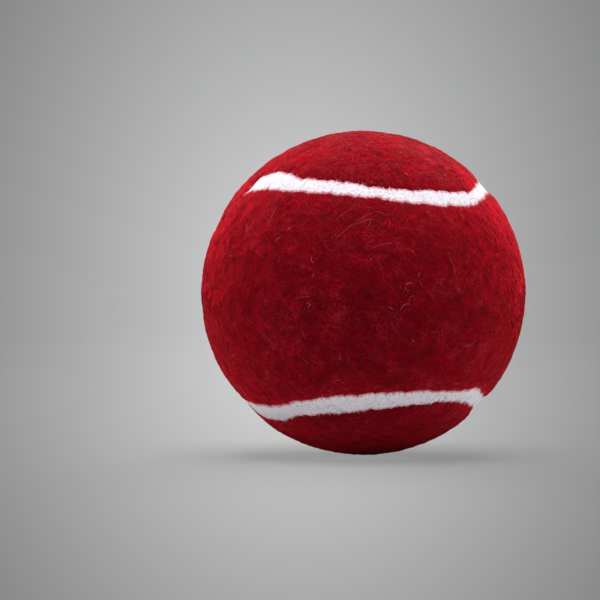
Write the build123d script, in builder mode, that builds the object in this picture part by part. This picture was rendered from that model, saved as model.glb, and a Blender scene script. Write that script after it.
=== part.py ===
from build123d import *

import os
from math import atan, atan2, cos, degrees, pi, sin, sqrt

# A felt-covered tennis ball, built from the inside out: two moulded rubber half-shells
# cemented rim to rim, a film of rubber solution over the core, and two waisted felt panels
# that interlock round it, with a recessed white cement seam in the gap between them.
#
# The origin is the ball's centre. The front panel's waist faces -Y and its two round lobes
# reach +X and -X. The rear panel's waist faces +Y and its lobes reach up and down.

# Driving dimensions, in millimetres
BALL_DIAMETER = 66.0  # over the felt nap
NAP_THICKNESS = 2.2  # raised wool and nylon nap
CLOTH_THICKNESS = 0.8  # woven ground cloth that carries the nap
FILM_THICKNESS = 0.25  # rubber solution between the core and the cloth
CORE_WALL = 3.6  # moulded rubber half-shell
JOINT_GAP = 0.3  # cement between the two rims
JOINT_BEAD = 0.6  # cement squeezed out into the hollow, from the inner wall
JOINT_BEAD_HEIGHT = 1.8  # of that bead, along the wall
NECK_WIDTH = 42.0  # across a panel's waist on the surface, seam centre to seam centre
SEAM_WIDTH = 3.8  # of the white seam, on the surface
SEAM_RECESS = 0.7  # of the seam below the nap
NAP_EDGE_RADIUS = 0.9  # where the nap rolls over at the seam
CUT_MARGIN = 1.0  # how far the seam-shaped cutter passes the layer that it cuts

# Radii of the layers, from the outside in
ball_radius = BALL_DIAMETER / 2
nap_base = ball_radius - NAP_THICKNESS
cloth_base = nap_base - CLOTH_THICKNESS
core_outer = cloth_base - FILM_THICKNESS
core_inner = core_outer - CORE_WALL
seam_top = ball_radius - SEAM_RECESS

# The seam is four equal circular arcs on the sphere. Each bounds one lobe of one panel and one
# side of the other panel's waist. Arcs meet tangent to each other on the diagonals of the XZ
# plane, which fixes an arc's size and the tilt of its axis once the waist's width is known.
diagonal = sqrt(0.5)
neck_angle = NECK_WIDTH / BALL_DIAMETER  # from a waist's middle to its seam, in radians
lobe_tilt = atan2(diagonal - sin(neck_angle), cos(neck_angle))
lobe_angle = pi / 2 - neck_angle - lobe_tilt  # from a lobe's axis to its seam
arc_sweep = 180 + 2 * degrees(atan(sin(lobe_tilt)))
seam_half_angle = SEAM_WIDTH / BALL_DIAMETER

# The four arcs in their order along the seam: the axis of the lobe that each goes round, the
# direction from that axis towards the arc's middle, and 1 for a rear lobe or -1 for a front one
tilt_sin = sin(lobe_tilt)
tilt_cos = cos(lobe_tilt)
seam_arcs = [
    (Vector(0, -tilt_sin, tilt_cos), Vector(0, -tilt_cos, -tilt_sin), 1),  # top lobe
    (Vector(tilt_cos, tilt_sin, 0), Vector(-tilt_sin, tilt_cos, 0), -1),  # right lobe
    (Vector(0, -tilt_sin, -tilt_cos), Vector(0, -tilt_cos, tilt_sin), 1),  # bottom lobe
    (Vector(-tilt_cos, tilt_sin, 0), Vector(tilt_sin, tilt_cos, 0), -1),  # left lobe
]


def seam_lines(radius, offset):
    """The closed seam line at one radius, as four arcs, moved by an angle to the rear panel."""
    lines = []
    for lobe_axis, arc_middle, turn in seam_arcs:
        angle = lobe_angle - turn * offset
        points = []
        for position in (-0.5, 0, 0.5):
            swing = turn * position * arc_sweep
            outward = arc_middle.rotate(Axis((0, 0, 0), lobe_axis), swing)
            points.append((lobe_axis * cos(angle) + outward * sin(angle)) * radius)
        lines.append(Edge.make_three_point_arc(*points))
    return lines


def seam_band(inner_radius, outer_radius):
    """The closed band along the seam with radial walls, between two radii."""
    corners = [
        seam_lines(inner_radius, -seam_half_angle),
        seam_lines(outer_radius, -seam_half_angle),
        seam_lines(outer_radius, seam_half_angle),
        seam_lines(inner_radius, seam_half_angle),
    ]
    walls = []
    for here, there in zip(corners, corners[1:] + corners[:1]):
        for near, far in zip(here, there):
            walls.append(Face.make_surface_from_curves(near, far))
    return Solid(Shell(walls))


def front_half(inner_radius, outer_radius):
    """The front panel's share of a spherical layer. The sphere's poles lie in the rear panel."""
    with BuildPart() as layer:
        Sphere(outer_radius, rotation=(0, 0, 90))
        Sphere(inner_radius, rotation=(0, 0, 90), mode=Mode.SUBTRACT)
        add(seam_band(inner_radius - CUT_MARGIN, outer_radius + CUT_MARGIN), mode=Mode.SUBTRACT)
    return layer.solids().sort_by(Axis.Y)[0]


def rear_half(inner_radius, outer_radius):
    """The rear panel's share of a spherical layer. The sphere's poles lie in the front panel."""
    with BuildPart() as layer:
        Sphere(outer_radius, rotation=(90, 90, 0))
        Sphere(inner_radius, rotation=(90, 90, 0), mode=Mode.SUBTRACT)
        add(seam_band(inner_radius - CUT_MARGIN, outer_radius + CUT_MARGIN), mode=Mode.SUBTRACT)
    return layer.solids().sort_by(Axis.Y)[-1]


def on_surface(edge):
    """True for an edge that lies on the ball's outer surface."""
    return abs((edge @ 0.5).length - ball_radius) < 0.01


# Rubber core: each half-shell is a spherical wall that ends half a cement gap from the joint
with BuildPart() as core_half_shell_upper:
    with BuildSketch(Plane.XZ):
        Circle(core_outer)
        Circle(core_inner, mode=Mode.SUBTRACT)
        with Locations((0, JOINT_GAP / 2)):
            Rectangle(core_outer, core_outer, align=(Align.MIN, Align.MIN), mode=Mode.INTERSECT)
    revolve(axis=Axis.Z)
core_half_shell_upper.part.label = "core_half_shell_upper"

with BuildPart() as core_half_shell_lower:
    mirror(core_half_shell_upper.part, about=Plane.XY)
core_half_shell_lower.part.label = "core_half_shell_lower"

# Cement between the rims, with the bead that was squeezed out along the inner wall
with BuildPart() as core_joint_cement:
    with BuildSketch(Plane.XZ):
        Circle(core_outer)
        Circle(core_inner, mode=Mode.SUBTRACT)
        Rectangle(core_outer, JOINT_GAP, align=(Align.MIN, Align.CENTER), mode=Mode.INTERSECT)
        with BuildLine():
            bead_edge = sqrt(core_inner**2 - JOINT_BEAD_HEIGHT**2 / 4)
            top = (bead_edge, JOINT_BEAD_HEIGHT / 2)
            bottom = (bead_edge, -JOINT_BEAD_HEIGHT / 2)
            ThreePointArc(top, (core_inner - JOINT_BEAD, 0), bottom)
            ThreePointArc(bottom, (core_inner, 0), top)
        make_face()
    revolve(axis=Axis.Z)
core_joint_cement.part.label = "core_joint_cement"

# Rubber solution all over the core
with BuildPart() as core_adhesive_film:
    Sphere(cloth_base)
    Sphere(core_outer, mode=Mode.SUBTRACT)
core_adhesive_film.part.label = "core_adhesive_film"

# Felt panels: a woven ground cloth under a raised nap whose edge is rounded at the seam
with BuildPart() as front_panel_cloth:
    add(front_half(cloth_base, nap_base))
front_panel_cloth.part.label = "front_panel_cloth"

with BuildPart() as rear_panel_cloth:
    add(rear_half(cloth_base, nap_base))
rear_panel_cloth.part.label = "rear_panel_cloth"

with BuildPart() as front_panel_nap:
    add(front_half(nap_base, ball_radius))
    fillet(front_panel_nap.edges().filter_by(on_surface), NAP_EDGE_RADIUS)
front_panel_nap.part.label = "front_panel_nap"

with BuildPart() as rear_panel_nap:
    add(rear_half(nap_base, ball_radius))
    fillet(rear_panel_nap.edges().filter_by(on_surface), NAP_EDGE_RADIUS)
rear_panel_nap.part.label = "rear_panel_nap"

# White seam cement in the gap between the panels, down to the film
with BuildPart() as seam_cement:
    Sphere(seam_top)
    Sphere(cloth_base, mode=Mode.SUBTRACT)
    add(seam_band(cloth_base - CUT_MARGIN, seam_top + CUT_MARGIN), mode=Mode.INTERSECT)
seam_cement.part.label = "seam_cement"

pieces = [
    core_half_shell_upper,
    core_half_shell_lower,
    core_joint_cement,
    core_adhesive_film,
    front_panel_cloth,
    rear_panel_cloth,
    front_panel_nap,
    rear_panel_nap,
    seam_cement,
]
os.makedirs("parts", exist_ok=True)
for piece in pieces:
    export_step(piece.part, f"parts/{piece.part.label}.step")
    print(piece.part.label, "volume", round(piece.part.volume, 1), "faces", len(piece.faces()))
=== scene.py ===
"""Looks for a red felt tennis ball: matted nap, lying fibres, white seam, core and studio."""

import logging
import math
from abc import ABC, abstractmethod
from dataclasses import dataclass, field
from enum import Enum

import bpy
import numpy as np
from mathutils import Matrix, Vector


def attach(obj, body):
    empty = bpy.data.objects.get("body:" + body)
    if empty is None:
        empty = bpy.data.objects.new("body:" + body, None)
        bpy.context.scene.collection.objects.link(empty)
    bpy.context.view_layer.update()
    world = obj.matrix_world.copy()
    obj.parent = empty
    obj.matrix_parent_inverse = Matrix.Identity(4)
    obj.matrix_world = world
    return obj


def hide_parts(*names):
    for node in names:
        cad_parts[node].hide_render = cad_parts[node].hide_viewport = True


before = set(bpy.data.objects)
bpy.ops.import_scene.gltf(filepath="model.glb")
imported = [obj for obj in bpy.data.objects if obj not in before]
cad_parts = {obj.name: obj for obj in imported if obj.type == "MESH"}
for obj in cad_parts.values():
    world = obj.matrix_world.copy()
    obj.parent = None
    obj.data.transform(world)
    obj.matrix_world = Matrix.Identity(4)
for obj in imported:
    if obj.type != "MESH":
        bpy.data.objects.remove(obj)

Array = np.ndarray
Values = dict[str, Array]
Pair = tuple[float, float]
Area = tuple[float, float, float, float]
log = logging.getLogger("tennis_ball")

MM = 0.001
ARCS = 4  # in the closed seam
SLACK = 1e-6  # angles closer than this, in radians, count as equal
EAST_AXIS = (0.3, 0.2, 0.93)  # the slanted axis that local east turns about

# Seeds of the random draws; where each panel has its own draw, the rear one takes the next seed
EDGE_SEED = 11
RELIEF_SEED = 21
FIBRE_SEED = 31
WISP_SEED = 33
SWIRL_SEED = 41
SEAM_SEED = 51
FRINGE_SEED = 61


def linear(hex_colour: str) -> tuple[float, float, float, float]:
    """Turns an sRGB hex colour into linear RGB with full alpha.

    Args:
        hex_colour: six hex digits, such as "b0101c".

    Returns:
        Linear red, green and blue from 0 to 1, and 1 for alpha.
    """
    codes = np.array([int(hex_colour[i : i + 2], 16) for i in (0, 2, 4)]) / 255
    values = np.where(codes <= 0.04045, codes / 12.92, ((codes + 0.055) / 1.055) ** 2.4)
    return (float(values[0]), float(values[1]), float(values[2]), 1.0)


def add_node(
    tree: bpy.types.NodeTree, kind: str, inputs: dict, **settings: object
) -> bpy.types.Node:
    """Adds a node, sets its properties, and fills or links its inputs.

    Args:
        tree: the node tree that takes the node.
        kind: the node's type, without the word that starts every shader node's type.
        inputs: input names or numbers, each with a value to set, an output to link, or a node
            whose first output is linked.
        settings: properties by name; stops gives a colour ramp its places and hex colours.

    Returns:
        The new node.
    """
    node = tree.nodes.new(f"ShaderNode{kind}")
    stops = settings.pop("stops", ())
    for _ in stops[2:]:
        node.color_ramp.elements.new(0.5)
    for number, (place, colour) in enumerate(stops):
        node.color_ramp.elements[number].position = place
        node.color_ramp.elements[number].color = linear(colour)
    for name, value in settings.items():
        setattr(node, name, value)
    for name, value in inputs.items():
        source = value.outputs[0] if isinstance(value, bpy.types.Node) else value
        if isinstance(source, bpy.types.NodeSocket):
            tree.links.new(source, node.inputs[name])
        else:
            node.inputs[name].default_value = source
    return node


def unit(vectors: Array) -> Array:
    """Vectors on the last axis, each divided by its length."""
    return vectors / np.linalg.norm(vectors, axis=-1, keepdims=True)


def local_east(units: Array) -> Array:
    """Unit vectors along the ball's surface, square to the slanted axis."""
    return unit(np.cross(EAST_AXIS, units))


def direction(azimuth: float, elevation: float) -> tuple[float, float, float]:
    """Unit vector from the ball's centre towards an azimuth and an elevation in degrees."""
    a, e = math.radians(azimuth), math.radians(elevation)
    return (math.sin(a) * math.cos(e), -math.cos(a) * math.cos(e), math.sin(e))


@dataclass
class LatticeNoise:
    """Smooth noise from seeded values on a cubic lattice that repeats after its cells."""

    seed: int
    cells: int = 32

    def __post_init__(self) -> None:
        """Draws the lattice values, from -1 to 1."""
        rng = np.random.default_rng(self.seed)
        self.values = rng.uniform(-1, 1, (self.cells, self.cells, self.cells))

    def at(self, points: Array, size: float) -> Array:
        """Noise at points: the eight lattice values round each, blended by a smooth step.

        Args:
            points: places in millimetres, with three coordinates on the last axis.
            size: the lattice step in millimetres.

        Returns:
            One value from -1 to 1 for each point.
        """
        scaled = points / size
        base = np.floor(scaled).astype(int)
        part = scaled - base
        part = part * part * (3 - 2 * part)
        total = np.zeros(points.shape[:-1])
        for corner in np.ndindex(2, 2, 2):
            step = np.array(corner)
            weight = np.prod(np.where(step == 1, part, 1 - part), axis=-1)
            place = np.mod(base + step, self.cells)
            total += weight * self.values[place[..., 0], place[..., 1], place[..., 2]]
        return total


class Side(Enum):
    """The two felt panels, each with the place along the seam of its first tip."""

    FRONT = 3.5
    REAR = 0.5

    @property
    def sign(self) -> float:
        """-1 for the front panel and 1 for the rear one, as seam offsets count."""
        return -1.0 if self is Side.FRONT else 1.0

    @property
    def number(self) -> int:
        """0 for the front panel and 1 for the rear one, as seeds count."""
        return 0 if self is Side.FRONT else 1

    @property
    def word(self) -> str:
        """The panel's word in the names of its pieces."""
        return self.name.lower()


@dataclass(frozen=True)
class BallSizes:
    """Sizes that the pieces share, in millimetres."""

    radius: float = 33.0
    nap_top: float = 32.85
    nap_base: float = 30.8
    cloth_base: float = 30.0
    seam_top: float = 32.48
    seam_fall: float = 0.1
    neck_width: float = 42.0
    edge_roll: float = 4.0
    edge_depth: float = 0.5

    def roll_depth(self, inset: Array) -> Array:
        """Depth of the nap's rolled edge, a quarter ellipse, at a distance inside the edge."""
        lean = np.clip(1 - inset / self.edge_roll, 0, 1)
        return self.edge_depth * (1 - np.sqrt(1 - lean**2))


# Distance in millimetres from the seam's centre line to each panel's edge, at places along it
FRONT_EDGE = (
    (0.04, 2.1), (0.12, 1.1), (0.26, 0.5), (0.4, 1.3), (0.54, 1.7), (0.68, -0.3), (0.85, 0.3),
    (1.2, 1.8), (2.05, 1.7), (2.24, -0.9), (2.32, -0.95), (2.38, 0.0), (2.43, 1.3), (2.48, 0.3),
    (2.64, 1.2), (2.84, 1.95), (3.04, 1.3), (3.08, 1.4), (3.12, 0.5), (3.17, -1.2), (3.4, 1.6),
    (3.6, 1.5), (3.68, 1.5), (3.76, 2.0), (3.84, 2.7), (3.87, 2.3), (3.95, 2.9),
)
REAR_EDGE = (
    (0.06, 1.8), (0.18, 2.75), (0.3, 2.1), (0.44, 2.4), (0.57, 1.75), (0.68, 3.4), (0.85, 3.0),
    (1.2, 1.9), (2.05, 2.2), (2.26, 5.5), (2.32, 4.45), (2.4, 3.4), (2.5, 2.25), (2.64, 2.7),
    (2.8, 3.1), (2.96, 2.2), (3.09, 3.9), (3.12, 4.6), (3.17, 6.2), (3.26, 5.5), (3.36, 2.6),
    (3.5, 1.8), (3.6, 0.3), (3.68, -0.9), (3.76, -1.5), (3.84, -2.2), (3.865, -1.4), (3.89, 1.6),
    (3.95, 2.45),
)
# Waves round the whole seam and their heights in millimetres: scallops first, then tears
EDGE_RIPPLE = ((37, 0.1), (61, 0.1), (103, 0.09), (167, 0.07), (271, 0.06), (390, 0.04))


@dataclass
class SeamPath:
    """The seam's centre line: four equal arcs on the unit sphere, each tangent to the next."""

    sizes: BallSizes

    def __post_init__(self) -> None:
        """Works out the arcs' axes, size, sweep and length from the waist's width."""
        neck = self.sizes.neck_width / (2 * self.sizes.radius)
        tilt = math.atan2(math.sqrt(0.5) - math.sin(neck), math.cos(neck))
        self.lobe_angle = math.pi / 2 - neck - tilt
        self.sweep = math.pi + 2 * math.atan(math.sin(tilt))
        self.arc_length = self.sweep * math.sin(self.lobe_angle) * self.sizes.radius
        s, c = math.sin(tilt), math.cos(tilt)
        self.turns = np.array([1.0, -1.0, 1.0, -1.0])
        self.axes = np.array([[0, -s, c], [c, s, 0], [0, -s, -c], [-c, s, 0]])
        self.middles = np.array([[0, -c, -s], [-s, c, 0], [0, -c, s], [s, c, 0]])
        self.onward = np.cross(self.axes, self.middles) * self.turns[:, None]

    def point(self, along: Array, offset: Array) -> Array:
        """Unit vectors at places along the seam, moved sideways.

        An arc's point is its axis times cos(a) plus the outward direction times sin(a), where a
        is the lobe's angle less the offset, and the outward direction swings about the axis.

        Args:
            along: place along the seam in arcs, from 0 to 4, closed.
            offset: sideways angle in radians, positive towards the rear panel.

        Returns:
            Unit vectors on a new last axis.
        """
        place = np.mod(along, ARCS)
        arc = np.minimum(np.floor(place).astype(int), ARCS - 1)
        swing = (place - arc - 0.5) * self.sweep
        angle = self.lobe_angle - self.turns[arc] * offset
        outward = self.middles[arc] * np.cos(swing)[..., None]
        outward = outward + self.onward[arc] * np.sin(swing)[..., None]
        return self.axes[arc] * np.cos(angle)[..., None] + outward * np.sin(angle)[..., None]

    def locate(self, units: Array) -> tuple[Array, Array]:
        """Place along the seam and signed sideways angle of unit vectors.

        Each arc whose sweep holds the point gives the lobe's angle less the angle from its axis;
        the arc with the least of these is the nearest.

        Args:
            units: unit vectors on the last axis.

        Returns:
            Place along the seam in arcs, and angle in radians, positive in the rear panel.
        """
        away = np.arccos(np.clip(units @ self.axes.T, -1, 1))
        signed = self.turns * (self.lobe_angle - away)
        swing = np.arctan2(units @ self.onward.T, units @ self.middles.T)
        rank = np.where(np.abs(swing) <= self.sweep / 2 + SLACK, np.abs(signed), np.inf)
        nearest = np.argmin(rank, axis=-1)[..., None]
        along = nearest + np.take_along_axis(swing, nearest, -1) / self.sweep + 0.5
        return along[..., 0], np.take_along_axis(signed, nearest, -1)[..., 0]

    def edge(self, along: Array, side: Side) -> Array:
        """Angle from the centre line to a panel's edge, as the panel was cut and pressed in.

        A slow trend runs straight between the places where the edge was looked at; a ripple, a
        sum of sines round the closed seam, gives it its short scallops and tears.

        Args:
            along: place along the seam in arcs.
            side: the panel whose edge it is.

        Returns:
            An angle in radians, positive away from the centre line on the panel's own side.
        """
        measured = FRONT_EDGE if side is Side.FRONT else REAR_EDGE
        places, distances = np.array(measured).T
        trend = np.interp(along, places, distances, period=ARCS)
        rng = np.random.default_rng(EDGE_SEED + side.number)
        ripple = np.zeros(np.shape(along))
        for waves, height in EDGE_RIPPLE:
            phase = rng.uniform(0, 2 * math.pi)
            ripple = ripple + height * np.sin(waves * 2 * math.pi / ARCS * along + phase)
        return (trend + ripple) / self.sizes.radius

    def inset(self, units: Array, side: Side) -> Array:
        """Distance in millimetres from a panel's edge to unit vectors, positive in the panel."""
        along, offset = self.locate(units)
        return (side.sign * offset - self.edge(along, side)) * self.sizes.radius


@dataclass(frozen=True)
class ViewPoint:
    """Where the photograph was taken from: degrees round the ball and up, and millimetres."""

    azimuth: float = -45.0
    elevation: float = 2.1
    distance: float = 990.0

    def on_ball(self, across: Array, above: Array, radius: float) -> Array:
        """Unit vectors of places on the ball that show right of and above its middle.

        What is nearer the camera shows larger, so the distances shrink with the ball's depth.

        Args:
            across: millimetres to the right of the ball's middle.
            above: millimetres above it.
            radius: the ball's.

        Returns:
            Unit vectors on a new last axis.
        """
        turn = math.radians(self.azimuth)
        right = np.array([math.cos(turn), math.sin(turn), 0.0])
        out = np.array(direction(self.azimuth, self.elevation))
        up = np.cross(out, right)
        depth = np.sqrt(radius**2 - across**2 - above**2)
        x, y = [seen * (1 - depth / self.distance) for seen in (across, above)]
        depth = np.sqrt(radius**2 - x**2 - y**2)
        return unit(x[..., None] * right + y[..., None] * up + depth[..., None] * out)


@dataclass
class FeltRelief:
    """Heights of the matted nap over its mean surface.

    Each layer has a height and a size in millimetres, and a shift that sets it off the others.
    """

    sizes: BallSizes
    noise: LatticeNoise
    swell: tuple[float, float, float] = (0.05, 7.0, 0.0)
    clump: tuple[float, float, float] = (0.08, 2.6, 40.0)
    tuft: tuple[float, float, float] = (0.08, 1.1, 80.0)

    def height(self, units: Array) -> Array:
        """Height in millimetres: broad swells, clumps and small tufts added together.

        Args:
            units: unit vectors on the last axis.

        Returns:
            One height for each vector.
        """
        places = units * self.sizes.radius
        layers = (self.swell, self.clump, self.tuft)
        return sum(high * self.noise.at(places + shift, size) for high, size, shift in layers)


@dataclass
class SurfaceMesh:
    """Gathers point grids and tubes, and makes them one mesh object."""

    name: str
    points: list[Array] = field(default_factory=list)
    maps: list[Array] = field(default_factory=list)
    triangles: list[Array] = field(default_factory=list)
    values: dict[str, list[Array]] = field(default_factory=dict)
    count: int = 0
    cell_margin: float = 0.1
    weld_digits: int = 4

    def keep(self, points: Array, spread: Array, values: Values, repeats: int) -> None:
        """Keeps points with their places in the UV map and their named values.

        Args:
            points: places in millimetres.
            spread: places in the UV map.
            values: named numbers or vectors, kept as attributes.
            repeats: how many points share each value.
        """
        self.points.append(points.reshape(-1, 3))
        self.maps.append(spread.reshape(-1, 2))
        for name, numbers in values.items():
            columns = numbers.reshape(points.size // 3 // repeats, -1)
            self.values.setdefault(name, []).append(np.repeat(columns, repeats, axis=0))
        self.count += points.size // 3

    def add_grid(self, points: Array, facing: Array, area: Area, values: Values) -> None:
        """Adds a grid of points as triangles that face a given way.

        Args:
            points: places in millimetres, rows by columns by three.
            facing: a direction for each point that its side of the mesh should face.
            area: left, bottom, right and top of the grid's part of the UV map.
            values: named values for each point.
        """
        rows, columns = points.shape[:2]
        index = np.arange(rows * columns).reshape(rows, columns)
        a, b = index[:-1, :-1].ravel(), index[1:, :-1].ravel()
        c, d = index[1:, 1:].ravel(), index[:-1, 1:].ravel()
        flat, out = points.reshape(-1, 3), facing.reshape(-1, 3)
        normal = np.cross(flat[b] - flat[a], flat[c] - flat[a])
        if np.sum(normal * out[a]) < 0:
            b, d = d, b
        faces = np.concatenate([np.stack([a, b, c], 1), np.stack([a, c, d], 1)])
        self.triangles.append(faces + self.count)
        left, bottom, right, top = area
        across = np.linspace(left, right, rows)
        up = np.linspace(bottom, top, columns)
        self.keep(points, np.stack(np.meshgrid(across, up, indexing="ij"), -1), values, 1)

    def add_tubes(self, rings: Array, values: Values) -> None:
        """Adds many thin closed tubes, each in its own cell of the UV map.

        Args:
            rings: places in millimetres: tubes by rings by sides by three.
            values: named values for each ring, tubes by rings.
        """
        tubes, steps, sides = rings.shape[:3]
        index = np.arange(tubes * steps * sides).reshape(tubes, steps, sides) + self.count
        turned = np.roll(index, -1, axis=2)
        a, b = index[:, :-1].ravel(), turned[:, :-1].ravel()
        c, d = turned[:, 1:].ravel(), index[:, 1:].ravel()
        first, last = index[:, 0], index[:, -1]
        faces = [np.stack([a, b, c], 1), np.stack([a, c, d], 1)]
        for start in range(1, sides - 1):
            faces.append(first[:, [0, start + 1, start]])
            faces.append(last[:, [0, start, start + 1]])
        self.triangles.append(np.concatenate(faces))
        cells = math.ceil(math.sqrt(tubes))
        number = np.arange(tubes)
        corner = np.stack([number % cells, number // cells], -1)[:, None, None]
        low, high = self.cell_margin, 1 - self.cell_margin
        lengthwise, crosswise = np.linspace(low, high, steps), np.linspace(low, high, sides)
        inside = np.stack(np.meshgrid(lengthwise, crosswise, indexing="ij"), -1)
        self.keep(rings, (corner + inside) / cells, values, sides)

    def build(self, weld: bool) -> bpy.types.Object:
        """Makes the object: welds points that coincide, and drops triangles that are lines.

        Args:
            weld: whether grids that meet are joined.

        Returns:
            The object, at the origin, with its place in its mesh in metres.
        """
        points, triangles = np.concatenate(self.points), np.concatenate(self.triangles)
        values = {name: np.concatenate(parts) for name, parts in self.values.items()}
        corner_map = np.concatenate(self.maps)[triangles]
        if weld:
            rounded = np.round(points, self.weld_digits)
            _, kept, back = np.unique(rounded, axis=0, return_index=True, return_inverse=True)
            points, triangles = points[kept], back.ravel()[triangles]
            values = {name: numbers[kept] for name, numbers in values.items()}
            a, b, c = triangles.T
            real = (a != b) & (b != c) & (c != a)
            triangles, corner_map = triangles[real], corner_map[real]
        mesh = bpy.data.meshes.new(self.name)
        mesh.vertices.add(len(points))
        mesh.vertices.foreach_set("co", (points * MM).astype(np.float32).ravel())
        mesh.loops.add(triangles.size)
        mesh.loops.foreach_set("vertex_index", triangles.astype(np.int32).ravel())
        mesh.polygons.add(len(triangles))
        starts = np.arange(0, triangles.size, 3, dtype=np.int32)
        mesh.polygons.foreach_set("loop_start", starts)
        mesh.polygons.foreach_set("use_smooth", np.ones(len(triangles), dtype=bool))
        mesh.update(calc_edges=True)
        layer = mesh.uv_layers.new(name="OFBake")
        layer.uv.foreach_set("vector", corner_map.astype(np.float32).ravel())
        for name, numbers in values.items():
            single = numbers.shape[1] == 1
            attribute = mesh.attributes.new(name, "FLOAT" if single else "FLOAT_VECTOR", "POINT")
            part = "value" if single else "vector"
            attribute.data.foreach_set(part, numbers.astype(np.float32).ravel())
        mesh.validate()
        piece = bpy.data.objects.new(self.name, mesh)
        bpy.context.scene.collection.objects.link(piece)
        log.info("%s: %d triangles", self.name, len(triangles))
        return piece


def place_piece(piece: bpy.types.Object, material: bpy.types.Material) -> None:
    """Dresses a new piece, and makes it ride on the ball with the record's slot.

    Args:
        piece: the new object.
        material: its finish.
    """
    piece.data.materials.append(material)
    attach(piece, "root")


class Finish(ABC):
    """A material, named for what it is and how its surface was made."""

    name: str

    @abstractmethod
    def shader(self, tree: bpy.types.NodeTree) -> bpy.types.Node:
        """Adds the nodes of the surface.

        Args:
            tree: the material's tree.

        Returns:
            The shader that the surface shows.
        """

    def build(self) -> bpy.types.Material:
        """Makes the material and links its shader to the output.

        Returns:
            The material.
        """
        material = bpy.data.materials.new(self.name)
        material.use_nodes = True
        tree = material.node_tree
        tree.nodes.clear()
        add_node(tree, "OutputMaterial", {"Surface": self.shader(tree)})
        return material


@dataclass(frozen=True)
class FeltGround(Finish):
    """Fulled wool and nylon felt between the top fibres.

    Fulling mats the fibres until single ones can hardly be told apart. The eye gets a dark red
    tangle, no gloss, and a velvet sheen where it is seen at a low angle. Its colour holds
    painted shade in the relief's hollows and down the nap's rolled edge, and painted light on
    its crests.
    Wool fibres are 0.02 to 0.04 mm thick, too fine to show, so the tangle is drawn coarser.
    """

    name: str = "wool and nylon felt, fulled"
    # Painted shade and light: hollow colours the relief's hollows and the rolled edge, crest its
    # crests and the tangle's lines
    hollow: str = "260003"
    middle: str = "4a0008"
    crest: str = "760513"
    sheen: str = "ff2434"
    coarse_mm: float = 1.1
    coarse_weight: float = 0.25
    fine_mm: float = 0.6
    fine_weight: float = 0.22
    push_scale: float = 0.7
    push_reach: float = 2.0
    line_width: float = 0.14

    def tangle(self, tree: bpy.types.NodeTree, size_mm: float) -> bpy.types.Node:
        """Thin bent lines, as matted fibres show: edges of cells whose places are pushed about.

        Args:
            tree: the material's tree.
            size_mm: the size of a cell.

        Returns:
            A node whose value is 1 on a line and falls to 0 beside it.
        """
        size = size_mm * MM
        reach = self.push_reach * size
        place = add_node(tree, "TexCoord", {}).outputs["Object"]
        slow = {"Vector": place, "Scale": self.push_scale / size, "Detail": 1.0}
        push = add_node(tree, "TexNoise", slow).outputs["Color"]
        moved = {0: push, 1: (reach, reach, reach), 2: place}
        bent = add_node(tree, "VectorMath", moved, operation="MULTIPLY_ADD")
        net = {"Vector": bent, "Scale": 1 / size}
        cells = add_node(tree, "TexVoronoi", net, feature="DISTANCE_TO_EDGE")
        span = {"From Min": 0.0, "From Max": self.line_width, "To Min": 1.0, "To Max": 0.0}
        return add_node(tree, "MapRange", {"Value": cells.outputs["Distance"], **span})

    def shader(self, tree: bpy.types.NodeTree) -> bpy.types.Node:
        """Colour follows the relief's height and two tangles; a red sheen lies over it.

        Args:
            tree: the material's tree.

        Returns:
            The felt's shader.
        """
        coarse, fine = [self.tangle(tree, size) for size in (self.coarse_mm, self.fine_mm)]
        height = add_node(tree, "Attribute", {}, attribute_name="shade").outputs["Fac"]
        thin = {0: fine, 1: self.fine_weight, 2: height}
        lower = add_node(tree, "Math", thin, operation="MULTIPLY_ADD")
        thick = {0: coarse, 1: self.coarse_weight, 2: lower}
        mixed = add_node(tree, "Math", thick, operation="MULTIPLY_ADD")
        # Painted shade and light: the ramp darkens the relief's hollows and the rolled edge and
        # lightens its crests
        stops = ((0.3, self.hollow), (0.65, self.middle), (1.0, self.crest))
        lift = {"Strength": 0.5, "Distance": 0.1 * MM, "Height": mixed}
        inputs = {
            "Base Color": add_node(tree, "ValToRGB", {"Fac": mixed}, stops=stops),
            "Normal": add_node(tree, "Bump", lift),
            "Roughness": 0.95,
            "Specular IOR Level": 0.0,
            "Sheen Weight": 1.0,
            "Sheen Roughness": 0.65,
            "Sheen Tint": linear(self.sheen),
        }
        return add_node(tree, "BsdfPrincipled", inputs)


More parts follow.
